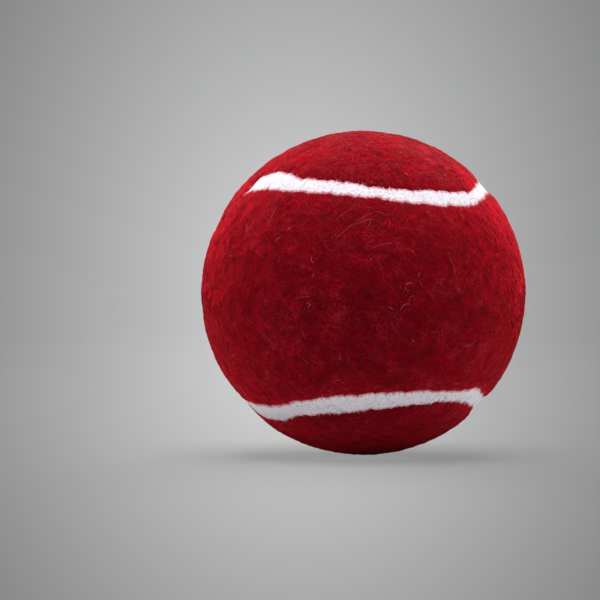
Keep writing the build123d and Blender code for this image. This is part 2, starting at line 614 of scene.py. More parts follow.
@dataclass(frozen=True)
class FeltFibre(Finish):
    """Wool and nylon fibres, dyed in the piece and raised by brushing.

    Each fibre takes the dye a little differently, so the eye gets many near reds, a few bright
    strands, and rare pale hairs. Nylon gives a faint glint. Fibres beside the seam took up some
    of the white cement. Matted fibres scatter light among themselves, so each is lit more as the
    felt is there than as a single round thread. Their colour also holds painted shade in the
    felt's hollows and where a fibre dips in, and painted light on its crests and beside the
    seam.
    """

    name: str = "wool and nylon fibre, piece dyed"
    deep: str = "300005"
    middle: str = "54020a"
    bright: str = "ac182c"
    pale: str = "d6747a"
    soaked: str = "dca4ac"
    sheen: str = "ff2a3a"
    matted: float = 1.2

    def shader(self, tree: bpy.types.NodeTree) -> bpy.types.Node:
        """Colour comes from each fibre's own shade, and white from what it soaked up.

        Args:
            tree: the material's tree.

        Returns:
            The fibres' shader.
        """
        own = add_node(tree, "TexCoord", {}).outputs["Normal"]
        felt = add_node(tree, "Attribute", {}, attribute_name="lie").outputs["Vector"]
        lean = {0: felt, 1: (self.matted, self.matted, self.matted), 2: own}
        blend = add_node(tree, "VectorMath", lean, operation="MULTIPLY_ADD")
        to_world = {"vector_type": "NORMAL", "convert_from": "OBJECT", "convert_to": "WORLD"}
        # The shade holds painted shade and light from the relief, the weave and the fluff, as
        # well as the dye
        shade = add_node(tree, "Attribute", {}, attribute_name="shade").outputs["Fac"]
        stops = ((0.0, self.deep), (0.45, self.middle), (0.85, self.bright), (1.0, self.pale))
        dyed = add_node(tree, "ValToRGB", {"Fac": shade}, stops=stops)
        soak = add_node(tree, "Attribute", {}, attribute_name="soak").outputs["Fac"]
        layers = {"Fac": soak, "Color1": dyed, "Color2": linear(self.soaked)}
        inputs = {
            "Base Color": add_node(tree, "MixRGB", layers),
            "Normal": add_node(tree, "VectorTransform", {"Vector": blend}, **to_world),
            "Roughness": 0.6,
            "Specular IOR Level": 0.08,
            "Sheen Weight": 1.0,
            "Sheen Roughness": 0.65,
            "Sheen Tint": linear(self.sheen),
        }
        return add_node(tree, "BsdfPrincipled", inputs)


@dataclass(frozen=True)
class WhiteSeam(Finish):
    """White rubber cement, spread into the gap and cured.

    It dries chalky over the felt's cut edges. The eye gets a matte white with a faint lilac
    grain, dust specks, few hairline creases, and red dye that has bled in from both edges.
    """

    name: str = "white rubber cement, cured"
    white: str = "e2dfe4"
    shaded: str = "cdbccb"
    speck: str = "9c8496"
    crease: str = "b0a4b0"
    bled: str = "e08c9a"
    clear: str = "ffffff"
    grain_mm: float = 0.45
    crease_mm: float = 9.0
    crease_weight: float = 0.7
    bleed_grain: float = 0.8

    def shader(self, tree: bpy.types.NodeTree) -> bpy.types.Node:
        """Grain gives white, shade and specks; creases and the bled dye are laid over it.

        Args:
            tree: the material's tree.

        Returns:
            The cement's shader.
        """
        place = add_node(tree, "TexCoord", {}).outputs["Object"]
        small = {"Vector": place, "Scale": 1 / (self.grain_mm * MM), "Detail": 4.0}
        grain = add_node(tree, "TexNoise", small)
        stops = ((0.34, self.shaded), (0.5, self.white), (0.62, self.white), (0.7, self.speck))
        body = add_node(tree, "ValToRGB", {"Fac": grain}, stops=stops)
        broad = {"Vector": place, "Scale": 1 / (self.crease_mm * MM), "Detail": 3.0}
        fold = add_node(tree, "TexNoise", broad)
        stops = ((0.494, self.clear), (0.5, self.crease), (0.506, self.clear))
        line = add_node(tree, "ValToRGB", {"Fac": fold}, stops=stops)
        layers = {"Fac": self.crease_weight, "Color1": body, "Color2": line}
        creased = add_node(tree, "MixRGB", layers, blend_type="MULTIPLY")
        rim = add_node(tree, "Attribute", {}, attribute_name="rim").outputs["Fac"]
        ragged = {0: grain, 1: self.bleed_grain, 2: rim}
        worn = add_node(tree, "Math", ragged, operation="MULTIPLY_ADD")
        stops = ((0.42, self.bled), (0.64, self.clear))
        stain = add_node(tree, "ValToRGB", {"Fac": worn}, stops=stops)
        layers = {"Fac": 1.0, "Color1": creased, "Color2": stain}
        lift = {"Strength": 0.5, "Distance": 0.1 * MM, "Height": grain}
        inputs = {
            "Base Color": add_node(tree, "MixRGB", layers, blend_type="MULTIPLY"),
            "Normal": add_node(tree, "Bump", lift),
            "Roughness": 0.85,
            "Specular IOR Level": 0.25,
        }
        return add_node(tree, "BsdfPrincipled", inputs)


@dataclass(frozen=True)
class CementedFibre(Finish):
    """Felt fibres caught in the wet cement at the seam's edges.

    The eye gets a soft pink line between red and white: single fibres from red to nearly white.
    """

    name: str = "felt fibre in white cement"
    red: str = "98202c"
    pink: str = "d08490"
    white: str = "ece0e6"

    def shader(self, tree: bpy.types.NodeTree) -> bpy.types.Node:
        """Colour comes from each fibre's own shade.

        Args:
            tree: the material's tree.

        Returns:
            The fibres' shader.
        """
        shade = add_node(tree, "Attribute", {}, attribute_name="shade").outputs["Fac"]
        stops = ((0.0, self.red), (0.45, self.pink), (0.9, self.white))
        colour = add_node(tree, "ValToRGB", {"Fac": shade}, stops=stops)
        inputs = {"Base Color": colour, "Roughness": 0.9, "Specular IOR Level": 0.2}
        return add_node(tree, "BsdfPrincipled", inputs)


@dataclass(frozen=True)
class GrainedRubber(Finish):
    """Rubber under the felt: moulded, or cured from a cement or a solution.

    Moulded rubber gives the eye a dull near-black with a slight bloom; cured cement and solution
    are browner and smoother, with soft streaks.
    """

    name: str
    dark: str
    light: str
    grain_mm: float
    roughness: float

    def shader(self, tree: bpy.types.NodeTree) -> bpy.types.Node:
        """Noise of the grain's size runs between the two colours and lifts a slight bump.

        Args:
            tree: the material's tree.

        Returns:
            The rubber's shader.
        """
        place = add_node(tree, "TexCoord", {}).outputs["Object"]
        small = {"Vector": place, "Scale": 1 / (self.grain_mm * MM), "Detail": 3.0}
        grain = add_node(tree, "TexNoise", small)
        stops = ((0.35, self.dark), (0.65, self.light))
        lift = {"Strength": 0.3, "Distance": 0.1 * MM, "Height": grain}
        inputs = {
            "Base Color": add_node(tree, "ValToRGB", {"Fac": grain}, stops=stops),
            "Normal": add_node(tree, "Bump", lift),
            "Roughness": self.roughness,
            "IOR": 1.52,
        }
        return add_node(tree, "BsdfPrincipled", inputs)


@dataclass(frozen=True)
class WovenGround(Finish):
    """Cotton ground cloth of the felt, plain woven and dyed with it.

    The eye gets a dull red cloth with threads both ways, with painted light where a thread
    passes over and painted shade in the dips between threads.
    """

    name: str
    valley_shade: str = "4c0a12"
    thread: str = "86121f"
    thread_mm: float = 0.8

    def shader(self, tree: bpy.types.NodeTree) -> bpy.types.Node:
        """Bands along X and Z, one thread wide, multiplied into a plain weave's squares.

        Args:
            tree: the material's tree.

        Returns:
            The cloth's shader.
        """
        place = add_node(tree, "TexCoord", {}).outputs["Object"]
        # At a scale of 1 a band of the wave texture is pi / 10 wide
        scale = math.pi / 10 / (self.thread_mm * MM)
        weave = {"Vector": place, "Scale": scale, "Distortion": 0.4, "Detail": 1.0}
        warp, weft = [add_node(tree, "TexWave", weave, bands_direction=way) for way in "XZ"]
        over = {0: warp.outputs["Fac"], 1: weft.outputs["Fac"]}
        cloth = add_node(tree, "Math", over, operation="MULTIPLY")
        # Painted shade in the dips between threads, painted light where a thread passes over
        stops = ((0.0, self.valley_shade), (0.7, self.thread))
        lift = {"Strength": 0.6, "Distance": 0.2 * MM, "Height": cloth}
        inputs = {
            "Base Color": add_node(tree, "ValToRGB", {"Fac": cloth}, stops=stops),
            "Normal": add_node(tree, "Bump", lift),
            "Roughness": 0.9,
            "Specular IOR Level": 0.1,
        }
        return add_node(tree, "BsdfPrincipled", inputs)


@dataclass(frozen=True)
class StudioPaper(Finish):
    """Matte grey paper with a spot of light on it.

    The eye gets a soft grey that is palest in the middle and takes the ball's shadow near it.
    """

    name: str = "matte grey studio paper"
    bounced: str = "d0d2d1"
    tint: str = "fdfffe"
    shown: float = 0.49

    def shader(self, tree: bpy.types.NodeTree) -> bpy.types.Node:
        """Near the ball it takes the shadow; far away it shows the spot's even grey.

        Light that bounces off it sees a plain grey.

        Args:
            tree: the material's tree.

        Returns:
            The paper's shader.
        """
        rays = add_node(tree, "LightPath", {}).outputs
        glow = add_node(tree, "Attribute", {}, attribute_name="glow").outputs
        even = add_node(tree, "Attribute", {}, attribute_name="even").outputs["Fac"]
        dimmed = {0: glow["Color"], "Scale": self.shown}
        part = add_node(tree, "VectorMath", dimmed, operation="SCALE")
        layers = {"Fac": rays["Is Camera Ray"], "Color1": linear(self.bounced), "Color2": part}
        colour = add_node(tree, "MixRGB", layers)
        matte = {"Base Color": colour, "Roughness": 0.95, "Specular IOR Level": 0.1}
        near = add_node(tree, "BsdfPrincipled", matte)
        lit = {"Color": linear(self.tint), "Strength": glow["Fac"]}
        far = add_node(tree, "Emission", lit)
        sharp = {0: rays["Is Glossy Ray"], 1: rays["Is Transmission Ray"]}
        mirrored = add_node(tree, "Math", sharp, operation="MAXIMUM")
        direct = {0: rays["Is Camera Ray"], 1: mirrored}
        seen = add_node(tree, "Math", direct, operation="MAXIMUM")
        share = add_node(tree, "Math", {0: even, 1: seen}, operation="MULTIPLY")
        return add_node(tree, "MixShader", {0: share, 1: near, 2: far})


@dataclass
class FibreLay:
    """Draws fibres that lie on the ball: their paths and their tubes."""

    sizes: BallSizes
    steps: int = 4
    sides: int = 3
    tip: float = 0.35
    bluntness: float = 0.95
    crimp_swing: float = 7.0
    crimp_shift: float = 5.0

    def tubes(self, centres: Array, thickness: Array) -> Array:
        """Wraps rings of points round fibre paths.

        A ring lies square to the path, on the side and up directions made from the path's
        direction and the ball's normal, and its radius falls towards both ends.

        Args:
            centres: path points in millimetres: fibres by points by three.
            thickness: each fibre's diameter in millimetres.

        Returns:
            Ring points: fibres by points by sides by three.
        """
        tangent = unit(np.gradient(centres, axis=1))
        side = unit(np.cross(tangent, unit(centres)))
        up = np.cross(side, tangent)
        place = np.linspace(-1, 1, centres.shape[1])
        taper = self.tip + (1 - self.tip) * np.sqrt(1 - self.bluntness * place**2)
        radius = thickness[:, None] / 2 * taper
        turn = (np.arange(self.sides) * 2 * math.pi / self.sides)[:, None]
        spoke = side[:, :, None] * np.cos(turn) + up[:, :, None] * np.sin(turn)
        return centres[:, :, None] + spoke * radius[:, :, None, None]

    def walk(
        self, roots: Array, heading: Array, length: Array, bend: Array, crimp: Array
    ) -> Array:
        """Unit vectors along fibre paths that start at roots and turn as they go.

        In the tangent plane at the root, the heading turns steadily by the bend and swings by
        the crimp; the steps are added up and the points are put back on the sphere.

        Args:
            roots: unit vectors.
            heading: first heading in radians from the local east.
            length: fibre lengths in millimetres.
            bend: steady turn over the whole fibre in radians.
            crimp: swing of the heading in radians.

        Returns:
            Unit vectors: fibres by points by three.
        """
        east = local_east(roots)
        north = np.cross(roots, east)
        share = np.linspace(0, 1, self.steps + 1)
        phase = share * self.crimp_swing + heading[:, None] * self.crimp_shift
        angle = heading[:, None] + bend[:, None] * (share - 0.5) + crimp[:, None] * np.sin(phase)
        step = (length / self.steps / self.sizes.radius)[:, None]
        x = np.cumsum(np.cos(angle) * step, axis=1)
        y = np.cumsum(np.sin(angle) * step, axis=1)
        x, y = x - x[:, :1], y - y[:, :1]
        units = roots[:, None] + east[:, None] * x[..., None] + north[:, None] * y[..., None]
        return unit(units)


@dataclass(frozen=True)
class FibreDraw:
    """How the fibres that lie on a panel are drawn: in millimetres, radians and shares.

    Cover is the share of roots that are kept on the mean surface, and grows with its height.
    """

    count: int = 24000
    per_piece: int = 6000
    tries: int = 4
    cover: float = 0.75
    cover_per_mm: float = 4.0
    swirl: float = 4.0
    swirl_mm: float = 5.0
    scatter: float = 1.0
    length_log: float = 0.65
    length_spread: float = 0.4
    length_range: Pair = (0.8, 4.5)
    bend: float = 1.8
    crimp: float = 0.7
    overhang: float = 0.08
    weave_mm: float = 2.2
    weave_depth: float = 0.06
    lift: float = 0.01
    lift_spread: float = 0.03
    thickness: Pair = (0.06, 0.1)


@dataclass(frozen=True)
class FibreShade:
    """How light each fibre is, from 0 to 1, and how much of the cement it took up.

    Besides the dye, the shade holds painted shade in the relief's hollows and where a fibre dips
    into the ground, and painted light on the crests and beside the seam.
    """

    mean: float = 0.42
    spread: float = 0.12
    most: float = 0.86
    patch: float = 0.25
    patch_mm: Pair = (3.4, 1.3)
    patch_shift: float = 20.0
    # Painted shade and light: per millimetre of the relief's height, darker in hollows and
    # lighter on crests
    per_mm: float = 1.6
    # Painted shade where a fibre dips into the ground
    weave: float = 0.06
    bright_share: float = 0.14
    bright_lift: float = 0.36
    pale_share: float = 0.003
    pale: float = 1.0
    # Painted highlight on fibres beside the seam, where the raised fluff catches the light
    fluff_mm: float = 2.5
    fluff_highlight: float = 0.2
    soak_mm: float = 0.4
    soak_most: float = 0.8


@dataclass(frozen=True)
class WispDraw:
    """How a panel's long loose hairs are drawn: in millimetres, radians and shares.

    A wisp has from one to four strands; the second number is one more than the most.
    """

    count: int = 14
    tries: int = 4
    edge_gap: float = 7.0
    strands: tuple[int, int] = (1, 5)
    steps: int = 10
    scatter: float = 0.8
    heading_spread: float = 0.22
    bend: float = 0.8
    bend_spread: float = 0.3
    crimp: float = 0.25
    length: Pair = (2.5, 7.0)
    lift: float = 0.05
    arch: Pair = (0.0, 0.1)
    thickness: Pair = (0.04, 0.06)
    shade: Pair = (0.82, 0.96)


@dataclass
class NapPanel:
    """One felt panel's raised nap: the matted surface and the fibres that lie on it."""

    side: Side
    path: SeamPath
    relief: FeltRelief
    lay: FibreLay
    draw: FibreDraw = FibreDraw()
    tone: FibreShade = FibreShade()
    wisps: WispDraw = WispDraw()
    stations: int = 640
    cross_steps: int = 108
    inner_steps: int = 6
    roll_rows: int = 13
    wall_depths: Pair = (1.2, 1.7)
    slope_step: float = 0.25
    # Painted shade and light of the ground: lighter on the relief's crests, darker in its
    # hollows, darker down the rolled edge and wall and on the inner face
    ground_shade: float = 0.5
    shade_per_mm: float = 2.0
    wall_shade: float = 0.2
    inner_shade: float = 0.3
    outer_area: Area = (0.01, 0.12, 0.99, 0.99)
    edge_area: Area = (0.01, 0.05, 0.99, 0.11)
    inner_area: Area = (0.01, 0.01, 0.99, 0.04)

    def edge_points(self, along: Array, inset: float, depth: float) -> Array:
        """Points along the panel's edge, inset sideways and sunk below the nap.

        Args:
            along: place along the seam in arcs.
            inset: distance inside the panel's edge in millimetres.
            depth: distance below the nap in millimetres; the relief fades with it.

        Returns:
            Places in millimetres.
        """
        sizes = self.path.sizes
        offset = self.side.sign * (self.path.edge(along, self.side) + inset / sizes.radius)
        units = self.path.point(along, offset)
        fade = max(0.0, 1 - depth / sizes.edge_depth)
        radius = sizes.nap_top - depth + fade * self.relief.height(units)
        return units * radius[..., None]

    def level(self, units: Array) -> Array:
        """Radius of the nap's outer face: its mean and relief, less the roll at its edge.

        Args:
            units: unit vectors in the panel.

        Returns:
            Radii in millimetres; the relief fades as the edge sinks.
        """
        sizes = self.path.sizes
        depth = sizes.roll_depth(self.path.inset(units, self.side))
        fade = 1 - depth / sizes.edge_depth
        return sizes.nap_top - depth + fade * self.relief.height(units)

    def lie(self, units: Array) -> Array:
        """The nap's outward directions: the ball's, tilted by the nap's slope two ways.

        Args:
            units: unit vectors in the panel.

        Returns:
            Unit vectors.
        """
        east = local_east(units)
        here, normal = self.level(units), units
        for way in (east, np.cross(units, east)):
            aside = unit(units + way * self.slope_step / self.path.sizes.radius)
            slope = (self.level(aside) - here) / self.slope_step
            normal = normal - way * slope[..., None]
        return unit(normal)

    def between(self, first: Array, second: Array, steps: int) -> Array:
        """Unit vectors on great-circle arcs from one edge to the other, evenly spaced.

        Args:
            first: points on one edge.
            second: as many points on the other edge.
            steps: spaces along each arc.

        Returns:
            Unit vectors: points by steps plus one by three.
        """
        first, second = unit(first), unit(second)
        span = np.arccos(np.clip(np.sum(first * second, -1), -1, 1))[:, None]
        share = np.linspace(0, 1, steps + 1)[None]
        whole = np.maximum(np.sin(span), SLACK)
        near = np.where(span > SLACK, np.sin((1 - share) * span) / whole, 1 - share)
        far = np.where(span > SLACK, np.sin(share * span) / whole, share)
        return unit(first[:, None] * near[..., None] + second[:, None] * far[..., None])

    def surface(self) -> bpy.types.Object:
        """Builds the closed nap: outer face, rolled edge and wall, and inner face.

        Cross lines run from the seam's one half to its other half between the panel's two tips.

        Returns:
            The nap's object.
        """
        sizes = self.path.sizes
        thickness = sizes.nap_top - sizes.nap_base
        way = np.linspace(0, ARCS / 2, self.stations + 1)
        one, other = self.side.value + way, self.side.value - way
        loop = np.concatenate([one, other[::-1][1:]])
        mesh = SurfaceMesh(f"{self.side.word}_felt_nap")
        first, second = [self.edge_points(half, sizes.edge_roll, 0.0) for half in (one, other)]
        units = self.between(first, second, self.cross_steps)
        height = self.relief.height(units)
        outer = units * (sizes.nap_top + height)[..., None]
        # Painted shade and light: the ground is darker in the relief's hollows and lighter on
        # its crests
        shade = self.shade_per_mm * height + self.ground_shade
        mesh.add_grid(outer, outer, self.outer_area, {"shade": shade})
        roll = np.linspace(0, math.pi / 2, self.roll_rows)
        wall = [*self.wall_depths, thickness]
        insets = [*(sizes.edge_roll * (1 - np.sin(roll))), *np.zeros(len(wall))]
        depths = [*(sizes.edge_depth * (1 - np.cos(roll))), *wall]
        rows = [self.edge_points(loop, inset, depth) for inset, depth in zip(insets, depths)]
        strip = np.stack(rows, axis=1)
        # Painted shade: the ground darkens down the rolled edge into the wall
        shade = np.linspace(self.ground_shade, self.wall_shade, len(rows))
        shade = np.broadcast_to(shade, strip.shape[:2])
        mesh.add_grid(strip, strip, self.edge_area, {"shade": shade})
        first, second = [self.edge_points(half, 0.0, thickness) for half in (one, other)]
        inner = self.between(first, second, self.inner_steps) * sizes.nap_base
        # Painted shade on the inner face
        shade = np.full(inner.shape[:2], self.inner_shade)
        mesh.add_grid(inner, -inner, self.inner_area, {"shade": shade})
        return mesh.build(weld=True)

    def fibre_paths(self, rng: np.random.Generator, noise: LatticeNoise) -> tuple[Array, Array]:
        """Draws the paths of the fibres that lie on the panel.

        Roots are spread evenly over the sphere and kept inside the panel, fewer in the hollows.
        Headings follow a slow noise with a wide scatter, so that neighbours form swirls.

        Args:
            rng: what the fibres are drawn with.
            noise: the noise that the headings follow.

        Returns:
            Unit vectors, fibres by points by three, and the fibres' lengths in millimetres.
        """
        draw = self.draw
        roots = unit(rng.normal(size=(draw.count * draw.tries, 3)))
        cover = draw.cover + draw.cover_per_mm * self.relief.height(roots)
        bare = rng.uniform(size=len(roots)) > cover
        roots = roots[(self.path.inset(roots, self.side) > 0) & ~bare]
        count = len(roots)
        swirl = draw.swirl * noise.at(roots * self.path.sizes.radius, draw.swirl_mm)
        heading = swirl + rng.normal(0, draw.scatter, count)
        length = rng.lognormal(draw.length_log, draw.length_spread, count)
        length = np.clip(length, *draw.length_range)
        bend, crimp = rng.normal(0, draw.bend, count), rng.normal(0, draw.crimp, count)
        units = self.lay.walk(roots, heading, length, bend, crimp)
        overhang = rng.exponential(draw.overhang, count)[:, None]
        held = np.all(self.path.inset(units, self.side) > -overhang, axis=1)
        kept = np.flatnonzero(held)[: draw.count]
        return units[kept], length[kept][:, None]

    def fibre_values(
        self, rng: np.random.Generator, noise: LatticeNoise, units: Array, weave: Array
    ) -> Values:
        """Works out each fibre's shade, the cement that it took up, and the felt's lie there.

        The shade adds patches of two sizes, the relief as painted shade in hollows and painted
        light on crests, the weave as painted shade where the fibre dips into the ground, and the
        fibre's own share of dye. It has painted light in the fluff beside the seam, where the
        raised fluff catches it, and a few fibres are bright or pale.

        Args:
            rng: what the fibres are drawn with.
            noise: the noise that the patches follow.
            units: the fibres' paths as unit vectors.
            weave: where each fibre goes in and out of the ground, from -1 to 1.

        Returns:
            The three values by name, for each point of each fibre.
        """
        tone, count = self.tone, len(units)
        relief, inset = self.relief.height(units), self.path.inset(units, self.side)
        places = units * self.path.sizes.radius + tone.patch_shift
        coarse, fine = [tone.patch * noise.at(places, size) for size in tone.patch_mm]
        own = rng.normal(0, tone.spread, count)[:, None]
        luck = rng.uniform(size=count)[:, None]
        own = own + np.where(luck < tone.bright_share, tone.bright_lift, 0.0)
        # Painted highlight: fibres are lighter near the seam, where the raised fluff catches the
        # light
        own = own + tone.fluff_highlight * np.exp(-np.maximum(inset, 0) / tone.fluff_mm)
        # Painted shade and light: the relief and weave terms darken hollows and dips and lighten
        # crests
        shade = tone.mean + (coarse + fine) + tone.per_mm * relief + tone.weave * weave + own
        shade = np.where(luck < tone.pale_share, tone.pale, np.clip(shade, 0, tone.most))
        soak = np.clip(1 - inset / tone.soak_mm, 0, 1)
        soak = soak * rng.uniform(0, tone.soak_most, count)[:, None]
        return {"shade": shade, "soak": soak, "lie": self.lie(units)}

    def fibre_pieces(self) -> list[bpy.types.Object]:
        """Builds the fibres that lie on the panel, in several pieces.

        Each fibre weaves in and out of the ground as a sine along its length.

        Returns:
            The fibre pieces.
        """
        draw = self.draw
        rng = np.random.default_rng(FIBRE_SEED + self.side.number)
        noise = LatticeNoise(SWIRL_SEED)
        units, length = self.fibre_paths(rng, noise)
        count = len(units)
        share = np.linspace(0, 1, self.lay.steps + 1)
        start = rng.uniform(0, 2 * math.pi, count)[:, None]
        weave = np.sin(share * length / draw.weave_mm * 2 * math.pi + start)
        rise = draw.weave_depth * weave + rng.normal(draw.lift, draw.lift_spread, count)[:, None]
        centres = units * (self.level(units) + rise)[..., None]
        rings = self.lay.tubes(centres, rng.uniform(*draw.thickness, count))
        values = self.fibre_values(rng, noise, units, weave)
        pieces = []
        for number, first in enumerate(range(0, count, draw.per_piece), 1):
            part = slice(first, first + draw.per_piece)
            mesh = SurfaceMesh(f"{self.side.word}_felt_fibres_{number}")
            mesh.add_tubes(rings[part], {name: whole[part] for name, whole in values.items()})
            pieces.append(mesh.build(weld=False))
        return pieces

    def wisp_piece(self) -> bpy.types.Object:
        """Builds the long loose hairs: small bundles that share a root, a heading and a bend.

        Returns:
            The piece of long hairs.
        """
        draw, sizes = self.wisps, self.path.sizes
        rng = np.random.default_rng(WISP_SEED + self.side.number)
        lay = FibreLay(sizes, steps=draw.steps)
        middles = unit(rng.normal(size=(draw.count * draw.tries, 3)))
        middles = middles[self.path.inset(middles, self.side) > draw.edge_gap][: draw.count]
        strands = rng.integers(*draw.strands, len(middles))
        count = int(strands.sum())
        scatter = rng.normal(0, draw.scatter / sizes.radius, (count, 3))
        roots = unit(np.repeat(middles, strands, axis=0) + scatter)
        heading = np.repeat(rng.uniform(0, 2 * math.pi, len(middles)), strands)
        bend = np.repeat(rng.normal(0, draw.bend, len(middles)), strands)
        heading = heading + rng.normal(0, draw.heading_spread, count)
        bend = bend + rng.normal(0, draw.bend_spread, count)
        length = rng.uniform(*draw.length, count)
        units = lay.walk(roots, heading, length, bend, rng.normal(0, draw.crimp, count))
        arch = np.sin(np.linspace(0, math.pi, lay.steps + 1))
        rise = draw.lift + rng.uniform(*draw.arch, count)[:, None] * arch
        centres = units * (self.level(units) + rise)[..., None]
        rings = lay.tubes(centres, rng.uniform(*draw.thickness, count))
        shade = np.repeat(rng.uniform(*draw.shade, count)[:, None], lay.steps + 1, axis=1)
        mesh = SurfaceMesh(f"{self.side.word}_felt_wisps")
        mesh.add_tubes(rings, {"shade": shade, "soak": 0 * shade, "lie": units})
        return mesh.build(weld=False)

    def build(self, ground: bpy.types.Material, fibre: bpy.types.Material) -> None:
        """Builds and dresses the panel's nap, which stands for its solid.

        Args:
            ground: the finish of the matted surface.
            fibre: the finish of the fibres.
        """
        nap = self.surface()
        place_piece(nap, ground)
        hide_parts(f"{self.side.word}_panel_nap")
        for piece in [*self.fibre_pieces(), self.wisp_piece()]:
            place_piece(piece, fibre)


# Loose hairs on the front panel, as they show from the camera, in millimetres right of and above
# the ball's middle: first end, other end, and the bow of the hair's middle upwards
STRAY_HAIRS = (
    (-5.82, 10.9, 0.33, 15.8, 0.3), (-0.69, 14.5, 4.6, 15.96, 1.3),
    (-2.18, 13.8, 0.33, 14.63, 0.1), (-5.57, 14.94, -3.46, 16.6, 0.1),
    (-14.04, -1.15, -10.93, -0.72, 0.1), (-9.05, 7.68, -8.55, 8.62, 0.0),
    (-23.4, 9.76, -19.86, 7.05, -0.3), (2.16, 9.33, 4.19, 9.86, 0.1),
    (-8.63, -2.47, -8.12, -3.02, 0.0), (-20.2, 15.37, -18.8, 14.54, 0.0),
    (-21.1, -7.84, -18.19, -10.65, 0.2), (-12.9, -6.9, -11.56, -9.51, -0.2),
    (-13.0, -12.83, -10.72, -14.9, 0.0), (-15.9, -18.65, -14.67, -19.89, 0.0),
)


@dataclass
class StrayHairs:
    """The long pale hairs that lie loose on the front panel."""

    relief: FeltRelief
    view: ViewPoint
    steps: int = 14
    thickness: float = 0.04
    lift: float = 0.06
    shade: float = 0.96

    def build(self, fibre: bpy.types.Material) -> None:
        """Builds and dresses the hairs: each is a chord with a parabola's bow, laid on the nap.

        Args:
            fibre: the finish of the fibres.
        """
        sizes = self.relief.sizes
        first_x, first_y, last_x, last_y, bow = np.array(STRAY_HAIRS).T[..., None]
        share = np.linspace(0, 1, self.steps + 1)
        across = first_x + (last_x - first_x) * share
        above = first_y + (last_y - first_y) * share + bow * 4 * share * (1 - share)
        units = self.view.on_ball(across, above, sizes.radius)
        centres = units * (sizes.nap_top + self.relief.height(units) + self.lift)[..., None]
        thickness = np.full(len(STRAY_HAIRS), self.thickness)
        rings = FibreLay(sizes).tubes(centres, thickness)
        shade = np.full(centres.shape[:2], self.shade)
        mesh = SurfaceMesh("front_stray_hairs")
        mesh.add_tubes(rings, {"shade": shade, "soak": 0 * shade, "lie": units})
        place_piece(mesh.build(weld=False), fibre)


@dataclass(frozen=True)
class FringeDraw:
    """How the short fibres across the seam's edges are drawn: in millimetres and shares.

    Start and reach run from the seam towards the nap, and the shade falls along them. Fibres are
    left out where the seam is sunk deeper than the last length.
    """

    count: int = 2600
    points: int = 4
    front_share: float = 0.7
    start: Pair = (-0.5, -0.1)
    reach: Pair = (0.2, 0.75)
    askew: float = 0.4
    narrowest: float = 0.3
    lift: Pair = (0.0, 0.05)
    thickness: Pair = (0.06, 0.1)
    shade: float = 0.5
    shade_spread: float = 0.25
    shade_per_mm: float = 0.5
    bare_sink: float = 0.18


